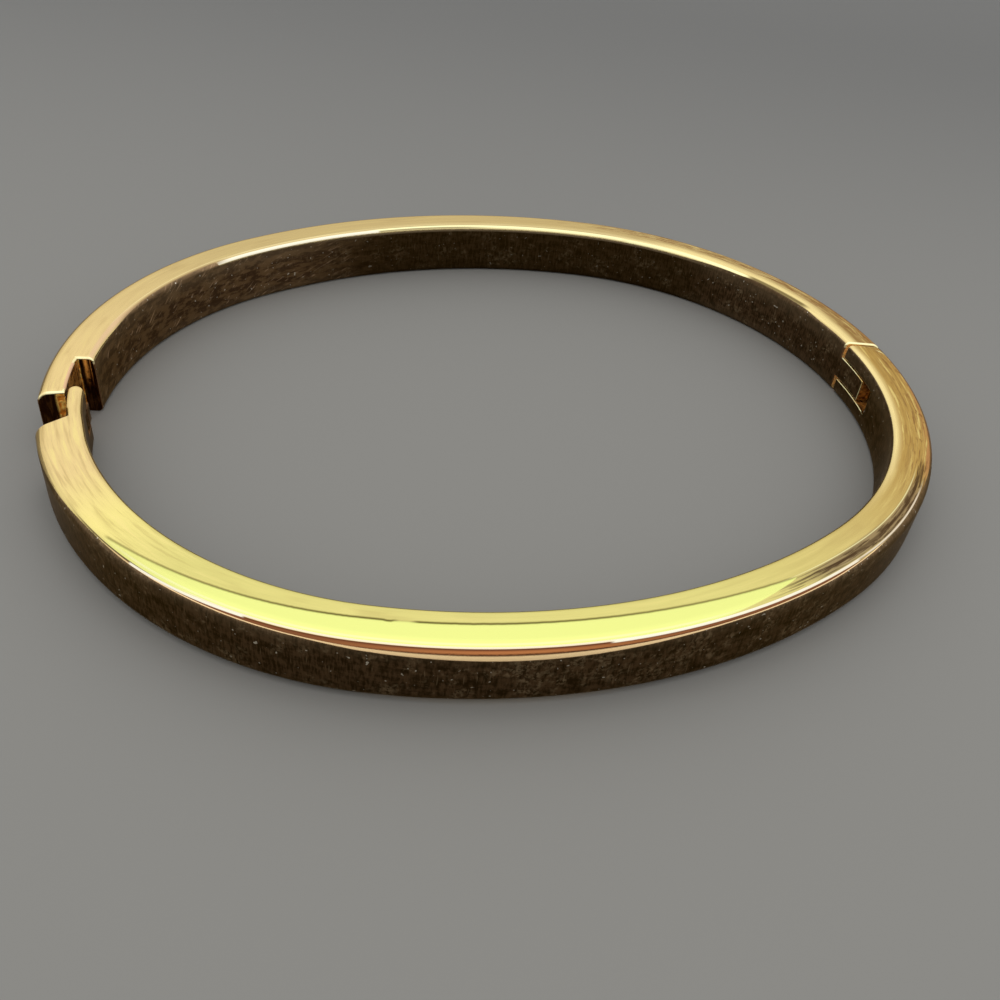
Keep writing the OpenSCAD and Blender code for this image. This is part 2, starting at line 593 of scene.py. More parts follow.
@dataclass
class BandHalf:
    """What the two halves of the band have in common."""

    oval: Oval
    section: Section
    hinge: Hinge
    clasp: Clasp
    edge_width: float = 0.14
    edge_segments: int = 3
    fine_share: float = 0.4
    sharp_angle: float = 30.0
    facing_share: float = 0.7
    wall_slack: float = 0.02
    name: str = ""
    body: str = ""
    node: str = ""
    first_angle: float = -90.0

    def angle_of(self, point: Vector) -> float:
        """Normal angle of a point, counted on past 180 where the half lies there."""
        angle = self.oval.place(point)[0]
        return angle if angle >= self.first_angle else angle + 360

    def edge_share(self, middle: Vector) -> float:
        """Share of the full edge width that a sharp edge is bevelled by, growing up the roundings."""
        below_top = (self.section.height - middle.z) / self.section.outer
        return 1 - (1 - self.fine_share) * min(below_top, 1.0)

    def weigh_edges(self, mesh: bmesh.types.BMesh) -> None:
        """Give each sharp outward edge the share of the full edge width that it is bevelled by.

        Args:
            mesh: The closed mesh, in millimetres.
        """
        layer = mesh.edges.layers.float.new("bevel_weight_edge")
        for edge in mesh.edges:
            if edge.calc_face_angle_signed(0) > math.radians(self.sharp_angle):
                edge[layer] = self.edge_share((edge.verts[0].co + edge.verts[1].co) / 2)

    def slot_of(self, face: bmesh.types.BMFace) -> Slot:
        """Choose a face's material slot, by the way it looks and where it is.

        Args:
            face: A face of the closed mesh, in millimetres.

        Returns:
            The slot.
        """
        middle = face.calc_center_median()
        angle, off = self.oval.place(middle)
        turn = math.radians(angle)
        outward = Vector((math.cos(turn), math.sin(turn), 0))
        ahead = Vector((-math.sin(turn), math.cos(turn), 0))
        if abs(face.normal.dot(ahead)) > self.facing_share:
            return Slot.CUT if middle.x < 0 else Slot.GLOW
        deep = self.section.inner < off < self.section.thickness - self.section.outer
        if deep and abs(face.normal.dot(outward)) > self.facing_share:
            return Slot.GLOW
        within = self.section.outer < middle.z < self.section.height - self.section.outer
        inside_wall = off < Sweep.merge_distance + self.wall_slack
        if within and abs(face.normal.z) > self.facing_share and not inside_wall:
            return Slot.GLOW
        return Slot.BAND

    def unroll(self, mesh: bmesh.types.BMesh) -> None:
        """Lay the surface out flat: the normal angle along U, the profile's length along V.

        Args:
            mesh: The closed mesh, in millimetres.
        """
        layer = mesh.loops.layers.uv.new(Unrolled.name)
        for face in mesh.faces:
            outside = self.oval.place(face.calc_center_median())[1] > self.section.thickness / 2
            for loop in face.loops:
                point = loop.vert.co
                length = self.section.length_at(self.oval.place(point)[1], point.z, outside)
                loop[layer].uv = Unrolled.spread(self.angle_of(point), length)

    def build(self) -> bpy.types.Object:
        """Build the half and give it its place in the frame.

        Returns:
            The finished piece.
        """
        sweep = Sweep(self.oval)
        self.sweep_parts(sweep)
        sweep.close()
        self.weigh_edges(sweep.mesh)
        for face in sweep.mesh.faces:
            face.smooth = True
            face.material_index = self.slot_of(face)
        self.unroll(sweep.mesh)
        piece = place_mesh(sweep.mesh, self.name)
        bevel = piece.modifiers.new("Soft edges", "BEVEL")
        bevel.limit_method = "WEIGHT"
        bevel.width = self.edge_width * MM
        bevel.segments = self.edge_segments
        bevel.profile = 0.5
        bevel.material = Slot.EDGE
        bevel.use_clamp_overlap = False
        weigh = piece.modifiers.new("Flat faces stay flat", "WEIGHTED_NORMAL")
        weigh.mode = "FACE_AREA"
        weigh.weight = 50
        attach(piece, self.body)
        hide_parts(self.node)
        return piece

    def sweep_parts(self, sweep: Sweep) -> None:
        """Sweep the half's strips; each half has its own."""
        raise NotImplementedError


@dataclass
class BackHalf(BandHalf):
    """Back half of the band, with the outer finger of the hinge and the tongue of the clasp."""

    name: str = "back_half_band"
    body: str = "back"
    node: str = "back_half"
    edge_width: float = 0.16
    fine_share: float = 0.35
    seam_station: float = 0.0
    tongue_station: float = -6.0
    knuckle_steps: int = 48

    def sweep_parts(self, sweep: Sweep) -> None:
        """Sweep the band, the outer finger and the tongue.

        Args:
            sweep: The mesh to add to.
        """
        hinge, clasp, oval = self.hinge, self.clasp, self.oval
        low, high = clasp.levels(self.section, 0)
        outer = self.section.outer_side(hinge.outer_finger)
        inner = self.section.inner_side([hinge.outer_finger], [low, high])
        seam, recess = clasp.seam(oval), hinge.recess_angle(oval)
        for line in (outer, inner):
            sweep.strip_to(line, self.seam_station, seam)
            sweep.strip(line, [self.seam_station, recess])
        sweep.strip(outer, [recess, hinge.finger_end_angle(oval)], closed=True)
        width = clasp.tongue_thickness
        tongue = [(0.0, low), (0.0, high), (width, high), (width, low)]
        sweep.strip_to(tongue, self.tongue_station, seam, closed=True)
        tongue_end = clasp.reach_angle(oval, clasp.tongue_length)
        sweep.strip(tongue, [self.tongue_station, tongue_end], closed=True)
        self.sweep_knuckle(sweep)

    def sweep_knuckle(self, sweep: Sweep) -> None:
        """Sweep the middle knuckle: a bored lug about the pin, its neck and its web to the outer finger.

        Args:
            sweep: The mesh to add to.
        """
        hinge, oval, half = self.hinge, self.oval, self.hinge.knuckle_height / 2
        low, high = self.section.height / 2 - half, self.section.height / 2 + half
        pin = oval.point(hinge.pin_angle(oval), hinge.middle, 0)
        bore = hinge.pin_radius + hinge.running_fit
        sweep.ring(pin, (bore, hinge.knuckle_radius), (low, high), self.knuckle_steps)
        end = hinge.level_angle(oval, hinge.pin_level + hinge.web_reach, hinge.outer_finger)
        for setback, inner, outer in (
            (hinge.neck_reach, 0.0, hinge.finger_width),
            (hinge.web_setback, hinge.middle, hinge.outer_finger + hinge.web_overlap),
        ):
            start = hinge.level_angle(oval, hinge.pin_level + setback, hinge.outer_finger)
            block = [(inner, low), (inner, high), (outer, high), (outer, low)]
            sweep.strip(block, [end, start], closed=True)


@dataclass
class FrontHalf(BandHalf):
    """Front half of the band, with the inner finger of the hinge and the channel of the clasp."""

    name: str = "front_half_band"
    body: str = "front"
    node: str = "front_half"
    first_angle: float = 90.0
    shoulder_station: float = 188.0
    finger_station: float = 179.5
    seam_station: float = 352.0
    tip_steps: int = 24
    shoulder_share: float = 0.2

    def edge_share(self, middle: Vector) -> float:
        """Share of the full edge width, which is small at the shoulder, where the finger's rounding ends.

        Args:
            middle: Middle of the edge.

        Returns:
            The share, from zero to one.
        """
        angle = self.angle_of(middle)
        at_shoulder = self.finger_station < angle < self.shoulder_station
        return self.shoulder_share if at_shoulder else super().edge_share(middle)

    def sweep_parts(self, sweep: Sweep) -> None:
        """Sweep the band, the inner finger with its two ears, and the channel.

        Args:
            sweep: The mesh to add to.
        """
        hinge, clasp, oval, section = self.hinge, self.clasp, self.oval, self.section
        width, rounding, middle = hinge.finger_width, hinge.finger_rounding, hinge.middle
        slot_low, slot_high = hinge.slot_levels(section)
        low, high = clasp.levels(section, clasp.tongue_gap)
        split = width - rounding
        outer = section.outer_side(split)
        inner = section.inner_side([split, middle], [low, slot_low, slot_high, high])
        seam = clasp.seam(oval).moved(-clasp.seam_gap)
        channel_end = 360 + clasp.reach_angle(oval, clasp.channel_length)
        shoulder = hinge.shoulder(oval)

        for line in (outer, inner):
            sweep.strip_to(line, self.shoulder_station, shoulder)
            sweep.strip(line, [self.shoulder_station, channel_end])
        depth = clasp.tongue_thickness + clasp.tongue_gap
        at_low, at_high = inner.index((0.0, low)), inner.index((0.0, high))
        channel = [(0.0, low), (depth, low), (depth, high), (0.0, high)]
        for line in (outer, inner[: at_low + 1], inner[at_high:], channel):
            sweep.strip(line, [channel_end, self.seam_station])
            sweep.strip_to(line, self.seam_station, seam)

        lower_corner = section.corner(1, False, rounding, width, section.inner_steps)
        upper_corner = section.corner(1, True, rounding, width, section.inner_steps)
        finger_wall = [*lower_corner, (width, slot_low), (width, slot_high), *reversed(upper_corner)]
        finger = [*inner, *reversed(finger_wall[1:-1])]
        sweep.strip_to(finger, self.finger_station, shoulder, closed=True)
        slot, tip = hinge.slot_angle(oval), hinge.tip_angle(oval)
        sweep.strip(finger, [self.finger_station, slot], closed=True)
        for upper, edge, level in ((True, slot_high, section.height), (False, slot_low, 0.0)):
            ear = [spot for spot in finger if (spot[1] >= edge) == upper or spot[1] == edge]
            start = ear.index((0.0, edge))
            ear = [*ear[start:], *ear[:start]]
            ear.insert(len(ear) if upper else 1, (middle, edge))
            sweep.strip(ear, [slot, tip], closed=True)
            corner = upper_corner if upper else lower_corner
            half = [(middle, edge), (width, edge), *reversed(corner), (middle, level)]
            self.widen_rounding(sweep.round_end(half, tip, middle, self.tip_steps), upper)

    def widen_rounding(self, verts: Iterable[bmesh.types.BMVert], upper: bool) -> None:
        """Let the rounding of the finger's end grow from the outer corner's radius to the inner corner's.

        Args:
            verts: Vertices of the round end.
            upper: True for the upper ear.
        """
        small, large, half = self.hinge.finger_rounding, self.section.inner, self.hinge.middle
        angle = self.hinge.tip_angle(self.oval)
        axis = self.oval.point(angle, half, 0)
        for vert in verts:
            arm = vert.co - axis
            reach = arm.xy.length
            height = vert.co.z if upper else self.section.height - vert.co.z
            beyond = reach - (half - small)
            above = height - (self.section.height - small)
            if beyond < -Sweep.merge_distance or above < -Sweep.merge_distance:
                continue
            swing = abs(math.remainder(math.radians(angle) - math.atan2(arm.y, arm.x), math.tau))
            radius = small + (large - small) * swing / math.pi
            new_reach = half - radius + beyond * radius / small
            new_height = self.section.height - radius + above * radius / small
            flat = Vector((arm.x, arm.y, 0)) * (new_reach / reach)
            vert.co = axis + flat
            vert.co.z = new_height if upper else self.section.height - new_height


def mesh_data(mesh: bmesh.types.BMesh, name: str) -> bpy.types.Mesh:
    """Turn a bmesh into mesh data and free it.

    Args:
        mesh: The bmesh.
        name: Name of the data.

    Returns:
        The mesh data.
    """
    data = bpy.data.meshes.new(name)
    mesh.to_mesh(data)
    mesh.free()
    return data


def show(name: str, data: bpy.types.ID) -> bpy.types.Object:
    """Put a new object into the scene, at the origin.

    Args:
        name: Name of the object.
        data: Its mesh, light or camera data.

    Returns:
        The object.
    """
    thing = bpy.data.objects.new(name, data)
    bpy.context.scene.collection.objects.link(thing)
    return thing


def place_mesh(mesh: bmesh.types.BMesh, name: str) -> bpy.types.Object:
    """Turn a bmesh in millimetres into an object in metres at the origin.

    Args:
        mesh: The bmesh, which is freed.
        name: Name of the new piece.

    Returns:
        The new object.
    """
    bmesh.ops.scale(mesh, vec=(MM, MM, MM), verts=mesh.verts)
    data = mesh_data(mesh, name)
    piece = show(name, data)
    open_edges = len(data.edges) * 2 - sum(len(face.vertices) for face in data.polygons)
    LOG.info("%s: %d faces, %d open edges", name, len(data.polygons), open_edges)
    return piece


class Unrolled:
    """Flat layout of the band's surface that its finish is laid out on."""

    name = "Unrolled"
    turn = 360.0
    length_scale = 20.0
    middle = 0.5

    @classmethod
    def spread(cls, angle: float, length: float) -> tuple[float, float]:
        """Place on the layout of a normal angle, in degrees, and a profile length, in millimetres."""
        return angle / cls.turn, length / cls.length_scale + cls.middle


# Shader nodes


class Wire:
    """A value in a node tree; an expression on wires adds its Math nodes."""

    def __init__(self, board: "Board", socket: bpy.types.NodeSocket) -> None:
        """Wrap an output socket."""
        self.board = board
        self.socket = socket

    def maths(self, operation: str, *values: Value) -> "Wire":
        """Add a Math node that works on the given values, in their order."""
        return self.board.add("ShaderNodeMath", {"operation": operation}, dict(enumerate(values)))

    def __add__(self, other: Value) -> "Wire":
        """Sum."""
        return self.maths("ADD", self, other)

    def __radd__(self, other: float) -> "Wire":
        """Sum, the other way round."""
        return self.maths("ADD", other, self)

    def __sub__(self, other: Value) -> "Wire":
        """Difference."""
        return self.maths("SUBTRACT", self, other)

    def __rsub__(self, other: float) -> "Wire":
        """Difference, the other way round."""
        return self.maths("SUBTRACT", other, self)

    def __mul__(self, other: Value) -> "Wire":
        """Product."""
        return self.maths("MULTIPLY", self, other)

    def __rmul__(self, other: float) -> "Wire":
        """Product, the other way round."""
        return self.maths("MULTIPLY", other, self)

    def __truediv__(self, other: Value) -> "Wire":
        """Quotient."""
        return self.maths("DIVIDE", self, other)

    def __abs__(self) -> "Wire":
        """Size without the sign."""
        return self.maths("ABSOLUTE", self)

    def over(self, floor: float) -> "Wire":
        """How far the value lies above a floor, and zero below it."""
        return (self - floor).at_least(0.0)

    def at_least(self, other: Value) -> "Wire":
        """The larger of two values."""
        return self.maths("MAXIMUM", self, other)

    def at_most(self, other: Value) -> "Wire":
        """The smaller of two values."""
        return self.maths("MINIMUM", self, other)

    def rise(self, low: Value, high: Value) -> "Wire":
        """Zero below the low value, one above the high one, with a soft step between them.

        Args:
            low: Value where the step starts.
            high: Value where it ends.

        Returns:
            The step, from zero to one.
        """
        return self.board.add(
            "ShaderNodeMapRange",
            {"interpolation_type": "SMOOTHSTEP"},
            {"Value": self, "From Min": low, "From Max": high, "To Min": 0.0, "To Max": 1.0},
        )

    def hump(self, centre: Value, reach: float) -> "Wire":
        """One at the centre, falling softly to zero a reach away from it."""
        return 1 - abs(self - centre).rise(0.0, reach)

    def within(self, low: float, high: float, soft: float) -> "Wire":
        """One between two values, with soft steps that are centred on them."""
        return self.rise(low - soft, low + soft) - self.rise(high - soft, high + soft)


class Board:
    """Node tree of a material or of the world."""

    def __init__(self, owner: Union[bpy.types.Material, bpy.types.World]) -> None:
        """Empty the owner's node tree.

        Args:
            owner: The material or the world.
        """
        owner.use_nodes = True
        self.tree = owner.node_tree
        self.tree.nodes.clear()

    def add(self, kind: str, settings: dict, inputs: dict, output: Union[int, str] = 0) -> Wire:
        """Add a node.

        Args:
            kind: The node's type.
            settings: The node's properties; "stops" are a ramp's pairs of position and colour.
            inputs: Values or wires for its sockets, by name or number.
            output: Name or number of the output that is wanted.

        Returns:
            The wanted output.
        """
        node = self.tree.nodes.new(kind)
        for key, value in settings.items():
            if key == "stops":
                self.set_stops(node.color_ramp, value)
            else:
                setattr(node, key, value)
        for key, value in inputs.items():
            if isinstance(value, Wire):
                self.tree.links.new(value.socket, node.inputs[key])
            else:
                node.inputs[key].default_value = value
        return Wire(self, node.outputs[output] if node.outputs else None)

    @staticmethod
    def set_stops(ramp: bpy.types.ColorRamp, stops: Sequence[tuple[float, Colour]]) -> None:
        """Give a colour ramp its stops.

        Args:
            ramp: The ramp of a new node.
            stops: Pairs of position, from zero to one, and colour.
        """
        while len(ramp.elements) < len(stops):
            ramp.elements.new(1.0)
        for element, (position, colour) in zip(ramp.elements, stops):
            element.position = position
            element.color = colour

    def mix(self, share: Value, under: Tint, over: Tint) -> Wire:
        """Lay one colour over another by a share from zero to one."""
        return self.add("ShaderNodeMix", {"data_type": "RGBA"}, {0: share, 6: under, 7: over}, 2)

    def noise(self, spot: Wire, scale: float, detail: float = 2.0, roughness: float = 0.5) -> Wire:
        """Cloudy noise from about 0.2 to 0.8."""
        inputs = {"Vector": spot, "Scale": scale, "Detail": detail, "Roughness": roughness}
        return self.add("ShaderNodeTexNoise", {}, inputs)

    def streaks(
        self,
        along: Wire,
        across: Value,
        seed: float,
        detail: float = 3.0,
        roughness: float = 0.6,
    ) -> Wire:
        """Noise of two values, which is stretched by the factors that they come with."""
        spot = self.add("ShaderNodeCombineXYZ", {}, {0: along, 1: across, 2: seed})
        return self.noise(spot, 1.0, detail, roughness)

    def vector(self, operation: str, one: Wire, other: Sequence[float], output: str = "Vector") -> Wire:
        """Add a Vector Math node."""
        return self.add("ShaderNodeVectorMath", {"operation": operation}, {0: one, 1: other}, output)

    def part(self, vector: Wire, axis: str) -> Wire:
        """One of a vector's three values, by the name of its axis."""
        return self.add("ShaderNodeSeparateXYZ", {}, {"Vector": vector}, axis)

    def object_spot(self) -> Wire:
        """Place on the piece, in metres."""
        return self.add("ShaderNodeTexCoord", {}, {}, "Object")

    def surface(self, inputs: dict) -> None:
        """Finish the tree with a Principled shader that has the given inputs."""
        shader = self.add("ShaderNodeBsdfPrincipled", {}, inputs)
        self.add("ShaderNodeOutputMaterial", {}, {"Surface": shader})

    def metal(
        self,
        colour: Tint,
        roughness: Value,
        relief: Wire,
        depth: float,
        dull: Value = 0.0,
    ) -> None:
        """Finish the tree with a metal shader.

        Args:
            colour: Colour of the metal.
            roughness: Roughness of its surface.
            relief: Height of its fine relief, from zero to one.
            depth: Depth of the relief, in millimetres.
            dull: Share of the surface that scatters light instead of mirroring it.
        """
        normal = self.add("ShaderNodeBump", {}, {"Strength": 1.0, "Distance": depth * MM, "Height": relief})
        self.surface(
            {
                "Base Color": colour,
                "Roughness": roughness,
                "Metallic": 1 - dull,
                "Specular Tint": METAL_RIM,
                "Normal": normal,
            }
        )


class Coat:
    """Colour of a surface, over which tints are laid one after another."""

    def __init__(self, board: Board, colour: Tint) -> None:
        """Start with the undermost colour."""
        self.board = board
        self.colour = colour

    def lay(self, share: Value, tint: Tint) -> None:
        """Lay a tint over the colour by a share from zero to one."""
        self.colour = self.board.mix(share, self.colour, tint)


# Finishes


class Finish:
    """Material that paints its own node tree. Each finish has a name."""

    name: str

    def build(self) -> bpy.types.Material:
        """Make the material and paint it.

        Returns:
            The material.
        """
        material = bpy.data.materials.new(self.name)
        self.paint(Board(material))
        return material

    def paint(self, board: Board) -> None:
        """Add the finish's nodes; each finish has its own."""
        raise NotImplementedError


@dataclass(frozen=True)
class PaintedLightLine:
    """Fine line of painted highlight or painted shade that runs along the band.

    Its ends are given by normal angle, in degrees, and by profile length, in millimetres.
    """

    start: float
    end: float
    start_length: float
    end_length: float
    width: float
    tint: Colour
    fade: float = 1.5
    strength: float = 1.0
    crisp: float = 0.7

    def mask(self, angle: Wire, length: Wire) -> Wire:
        """Where the line covers the surface.

        Args:
            angle: Normal angle.
            length: Profile length.

        Returns:
            The cover, from zero to one.
        """
        slope = (self.end_length - self.start_length) / (self.end - self.start)
        run = (angle - self.start) * slope + self.start_length
        half = self.width / 2
        cover = 1 - abs(length - run).rise(half * self.crisp, half * (2 - self.crisp))
        return cover * angle.within(self.start, self.end, self.fade) * self.strength


@dataclass(frozen=True)
class BandFinish(Finish):
    """Gold of the band: its tone and painted reflections change along it; the walls carry a painted dark
    reflection.

    Places are given by normal angle, in degrees, and by profile length, in millimetres. The lower half of
    the band is laid out like the upper one, turned over at lines a little below the middle of the walls, so
    that its roundings are as dark as the walls.
    """

    name: str = "band_gold"
    seam_gold: Colour = linear(176, 146, 94)
    back_gold: Colour = linear(212, 190, 134)
    hinge_gold: Colour = linear(238, 211, 148)
    front_gold: Colour = linear(221, 211, 129)
    sunny_gold: Colour = linear(246, 230, 144)
    dim_gold: Colour = linear(209, 187, 116)
    ochre_gold: Colour = linear(188, 154, 86)
    # Bright gold paints a reflection on the front's top.
    bright_gold: Colour = linear(236, 241, 142)
    light_gold: Colour = linear(250, 230, 150)
    deep_gold: Colour = linear(150, 116, 68)
    rust: Colour = linear(132, 88, 54)
    # The wall colours paint a dark reflection on the walls, mottled brown to nearly black.
    wall: Colour = linear(102, 78, 54)
    wall_light: Colour = linear(176, 152, 118)
    wall_dark: Colour = linear(56, 40, 20)
    wall_deep: Colour = linear(52, 36, 4)
    wall_red: Colour = linear(70, 42, 22)
    wall_brown: Colour = linear(132, 100, 66)
    stroke_highlight: Colour = linear(214, 176, 138)
    speck: Colour = linear(235, 225, 205)
    # Copper, copper light and peach paint reflections on the front's outer rounding.
    copper: Colour = linear(134, 84, 52)
    copper_light: Colour = linear(188, 120, 70)
    blush: Colour = linear(212, 150, 104)
    rosy_gold: Colour = linear(226, 190, 152)
    peach: Colour = linear(255, 220, 164)
    mauve: Colour = linear(140, 118, 90)
    shade: Colour = linear(74, 54, 36)
    olive: Colour = linear(104, 94, 40)
    wall_start: float = 2.42
    outer_turn: float = 4.9
    inner_turn: float = -2.85
    bright_start: float = 211.0
    bright_lowest: float = 260.0
    bright_corner: float = 272.0
    bright_end: float = 283.5
    bright_edge: float = 2.38
    relief_depth: float = 0.02

    def lines(self) -> tuple[PaintedLightLine, ...]:
        """List the fine lines of painted highlight and painted shade.

        Returns:
            The lines, with the undermost first.
        """
        cream = linear(240, 222, 165)
        white = linear(255, 247, 222)
        yellow = linear(255, 248, 188)
        sun = linear(255, 234, 166)
        rosy = linear(248, 232, 206)
        umber = linear(150, 122, 86)
        brown = linear(104, 80, 46)
        dusk = linear(96, 80, 44)
        ember = linear(106, 58, 36)
        return (
            PaintedLightLine(306, 362, -0.4, -0.35, 0.86, sun, 12.0, 0.9, 0.1),
            PaintedLightLine(-12, 12, 0.0, 0.1, 0.8, sun, 4.0, 0.9, 0.1),
            PaintedLightLine(9, 50, 0.36, 0.0, 1.1, sun, 6.0, 0.95, 0.2),
            PaintedLightLine(46, 98, -0.3, -0.2, 0.8, cream, 9.0, 0.5, 0.1),
            PaintedLightLine(12, 27.5, 0.0, -0.16, 0.46, dusk, 1.5, 0.85, 0.4),
            PaintedLightLine(28, 58, -0.2, -0.42, 0.3, yellow, 1.0),
            PaintedLightLine(58, 97, -0.36, -0.34, 0.26, yellow, 1.0),
            PaintedLightLine(60, 98, -0.14, -0.17, 0.07, brown, 6.0, 0.5),
            PaintedLightLine(82, 99, -0.42, -0.42, 0.1, brown, 3.0, 0.7),
            PaintedLightLine(96, 123, -0.4, -0.36, 0.26, white, 0.3),
            PaintedLightLine(100, 124, -0.08, -0.05, 0.14, cream, 4.0, 0.6),
            PaintedLightLine(122, 152, -0.26, -0.3, 0.34, umber, 3.0, 0.9, 0.3),
            PaintedLightLine(123, 154, 0.07, 0.02, 0.1, cream, 1.5, 0.8),
            PaintedLightLine(148, 168.5, -0.12, -0.2, 0.36, self.rosy_gold, 6.0, 0.7, 0.4),
            PaintedLightLine(214, 276, 2.16, 2.16, 0.12, white, 4.0, 0.25),
            PaintedLightLine(226, 268, 2.33, 2.36, 0.11, rosy, 3.0, 0.85),
            PaintedLightLine(205, 228, 2.34, 2.44, 0.08, self.shade, 4.0, 0.85),
            PaintedLightLine(228, 274, 2.45, 2.46, 0.07, ember, 2.0, 0.8),
            PaintedLightLine(274, 312, 2.4, 2.22, 0.08, self.shade, 4.0, 0.85),
            PaintedLightLine(262, 277, 2.76, 2.6, 0.05, ember, 2.0, 0.7),
            PaintedLightLine(216.5, 233.5, 2.46, 2.4, 0.13, white, 0.3),
            PaintedLightLine(266, 290.5, 2.42, 2.32, 0.15, white, 0.3),
            PaintedLightLine(289, 311, 2.3, 2.12, 0.11, rosy, 4.0, 0.8),
            PaintedLightLine(286, 317, 1.84, 1.74, 0.2, self.shade, 3.0, 0.7, 0.4),
            PaintedLightLine(284, 314, 1.34, 1.42, 0.07, yellow, 4.0, 0.6),
            PaintedLightLine(351.6, 353.6, 2.35, 1.7, 0.16, yellow, 0.4, 0.9, 0.5),
        )

    def tone(self, board: Board, angle: Wire) -> Wire:
        """Gold of the top, as it changes along the band: the gold's own tone, with painted reflections in its
        lighter and darker stretches.

        Args:
            board: The node tree.
            angle: Normal angle.

        Returns:
            The colour.
        """
        places = (
            (0, self.seam_gold),
            (28, self.back_gold),
            (120, self.back_gold),
            (165, self.hinge_gold),
            (196, self.hinge_gold),
            (208, self.sunny_gold),
            (222, self.front_gold),
            (276, self.front_gold),
            (293, self.dim_gold),
            (318, self.ochre_gold),
            (352, self.ochre_gold),
        )
        stops = [(place / Unrolled.turn, tint) for place, tint in places]
        return board.add("ShaderNodeValToRGB", {"stops": stops}, {0: angle / Unrolled.turn})

    def brush(self, gold: Coat, angle: Wire, length: Wire) -> None:
        """Lay the brush marks over the gold.

        Args:
            gold: Colour of the gold so far.
            angle: Normal angle.
            length: Profile length.
        """
        drift = gold.board.streaks(angle * 0.12, length * 1.1, 3.0, 2.0, 0.5)
        gold.lay(drift.rise(0.5, 0.8) * 0.2, self.deep_gold)
        brushed = gold.board.streaks(angle * 0.12 + length * 0.4, length * 3.6, 7.0)
        near_hinge = angle.within(170, 220, 16) * 0.75 + 0.25
        gold.lay(brushed.rise(0.48, 0.7) * near_hinge * 0.3, self.deep_gold)
        gold.lay((1 - brushed.rise(0.32, 0.5)) * near_hinge * 0.6, self.light_gold)

    def wear(self, gold: Coat, angle: Wire, length: Wire) -> None:
        """Lay the brown wear streaks towards the clasp, and the dull stretch that leads up to them.

        Args:
            gold: Colour of the gold so far.
            angle: Normal angle.
            length: Profile length.
        """
        around = angle.rise(302, 320) - angle.rise(361, 366) + (1 - angle.rise(24, 92))
        outward = length.rise(0.1, 1.4) * 0.8 + 0.2
        long = gold.board.streaks(angle * 0.1 - length * 0.3, length * 3.8, 11.0)
        gold.lay(long.rise(0.46, 0.64) * around * outward * 0.75, self.deep_gold)
        gold.lay((1 - long.rise(0.32, 0.44)) * around * 0.55, self.light_gold)
        fine = gold.board.streaks(angle * 0.22 + length * 0.5, length * 6.5, 17.0, 3.0, 0.65)
        gold.lay(fine.rise(0.53, 0.64) * around * outward * 0.7, self.rust)
        edge = length.rise(1.7, 2.2) * long.rise(0.34, 0.56)
        gold.lay(edge * around * 0.6, self.blush)
        at_back = (1 - angle.rise(54, 76)) * length.rise(0.4, 1.2)
        gold.lay(fine.rise(0.44, 0.56) * at_back * 0.65, self.rust)
        gold.lay((1 - fine.rise(0.36, 0.46)) * at_back * 0.3, self.olive)
        spots = gold.board.streaks(angle * 0.5, length * 2.2, 19.0, 2.0)
        by_clasp = angle.within(322, 354, 3) * length.rise(1.0, 1.6)
        gold.lay(spots.rise(0.6, 0.68) * by_clasp * 0.7, self.rust)
        dull = angle.within(285, 312, 3.5) * length.within(1.4 - angle.hump(294, 8) * 0.12, 2.2, 0.14)
        gold.lay(dull * 0.8, self.mauve)
        dark = fine.rise(0.44, 0.56) * angle.within(282, 318, 4.0) * length.within(1.5, 2.2, 0.12)
        gold.lay(dark * 0.85, self.shade)

    def brighten(self, gold: Coat, angle: Wire, length: Wire) -> None:
        """Lay the painted reflection on the front's top: a bright outer zone, with a dark line that parts it
        from the rest.

        Args:
            gold: Colour of the gold so far.
            angle: Normal angle.
            length: Profile length.
        """
        before = (self.bright_lowest - angle).over(0.0) / (self.bright_lowest - self.bright_start)
        after = angle.over(self.bright_lowest)
        parting = before * before * 1.35 + after * after * 0.0012 + 0.72
        parting = parting + angle.within(249.0, 249.6, 0.2) * 0.05
        corner = angle.over(self.bright_corner) * (1 / (self.bright_end - self.bright_corner))
        limit = self.bright_edge - corner * corner * 0.85
        wobble = gold.board.streaks(angle * 1.3, 0.0, 31.0, 1.0, 0.5)
        beyond = length - parting + (wobble - 0.5) * 0.05
        along = angle.rise(self.bright_start - 1, self.bright_start + 2)
        zone = beyond.rise(0.0, 0.05) * (1 - (length - limit).rise(-0.04, 0.03)) * along
        inside = zone * (1 - angle.rise(self.bright_end, self.bright_end + 0.4))
        gold.lay(inside * (0.55 + 0.45 * angle.rise(212, 232)), self.bright_gold)
        depth = angle.hump(252.0, 44.0) * 0.4 + 0.6
        gap = angle.within(249.8, 251.2, 0.4)
        line = beyond.hump(0.0, 0.15) * angle.within(self.bright_start, self.bright_end, 0.6)
        gold.lay(line * (1 - gap * 0.8) * depth, self.olive)

    def redden(self, gold: Coat, angle: Wire, length: Wire) -> tuple[Wire, Wire]:
        """Lay the painted reflections on the front's outer rounding: a copper band and a peach line.

        Args:
            gold: Colour of the gold so far.
            angle: Normal angle.
            length: Profile length.

        Returns:
            The peach line's mask and the profile length where the walls' painted dark reflection starts.
        """
        wide = angle.hump(257.0, 62.0)
        narrow = angle.hump(258.5, 19.0)
        drawn_in = (1 - angle.rise(206, 216)) * 0.12 + angle.rise(286, 298) * 0.2
        at_back = (1 - angle.rise(180, 214)) * 0.6 + angle.rise(310, 328) * 0.4
        edge = wide * 0.36 + narrow * 0.42 + self.wall_start - drawn_in + at_back
        stretch = angle.within(212, 303, 9.0)
        warm = length.hump(2.62, 0.16) * narrow
        tone = gold.board.mix(warm, self.copper, self.copper_light)
        gold.lay(length.rise(self.bright_edge, self.bright_edge + 0.05) * stretch, tone)
        width = narrow * 0.165 + 0.032
        peach = (1 - abs(length - edge + width).rise(width * 0.6, width * 1.3)) * stretch
        gold.lay(peach, self.peach)
        return peach, edge

